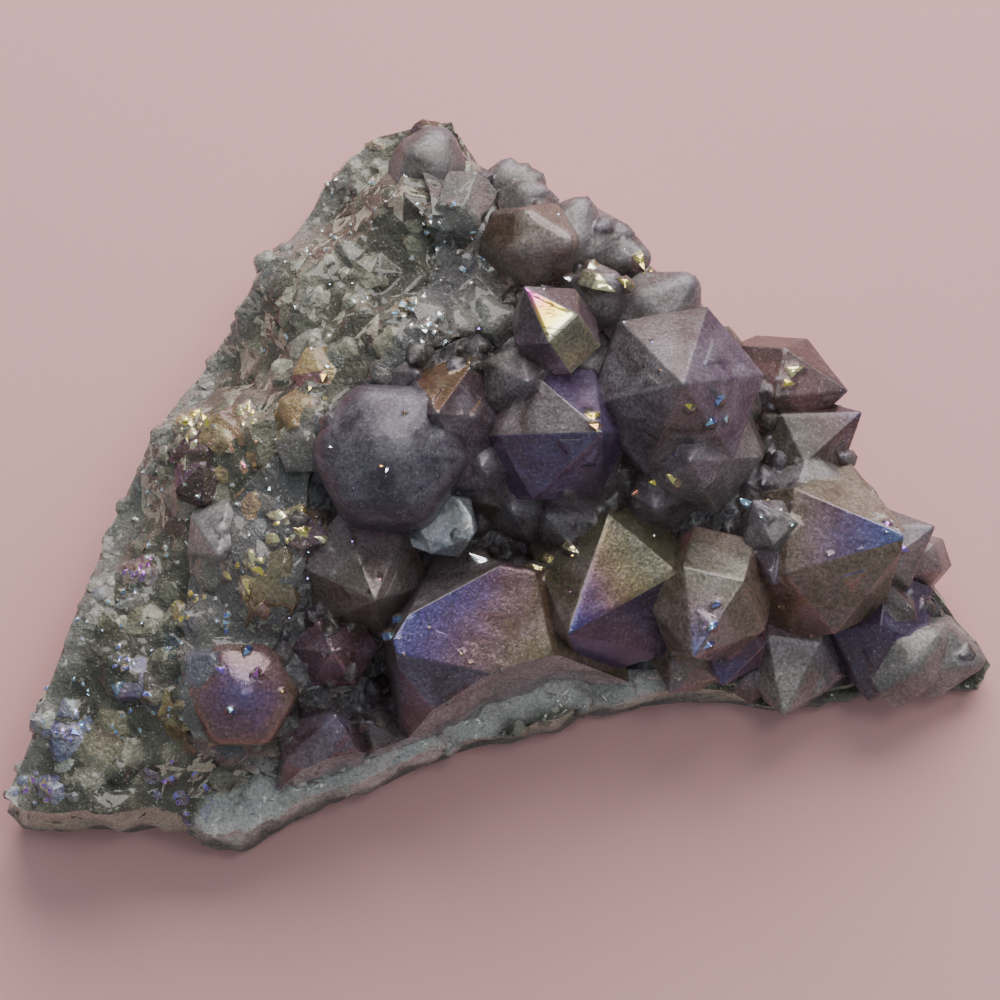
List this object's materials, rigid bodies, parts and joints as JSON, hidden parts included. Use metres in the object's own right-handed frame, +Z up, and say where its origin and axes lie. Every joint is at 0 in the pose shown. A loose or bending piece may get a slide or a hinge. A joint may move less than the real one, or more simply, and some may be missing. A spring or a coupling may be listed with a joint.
{
  "type": "aura amethyst cluster",
  "caption": "Wedge of grey quartz matrix with a crust of joined six-sided amethyst points under a thin rainbow film, resting on a flat underside.",
  "frame": {"origin": "centre of the flat underside, in the middle of the outline", "axes": "+X along the longest side, towards the low narrow end; +Y across, towards the high broken tip; +Z up, out through the crystals"},
  "size_m": [0.0994, 0.0721, 0.035],
  "materials": {
    "matrix": "broken grey-white quartz, rough, with a dark grey-green skin below",
    "crystals": "polished, translucent mauve-grey under a rainbow film"
  },
  "bodies": {
    "root": {"matrix": "matrix", "crystals": "crystals"}
  },
  "joints": []
}
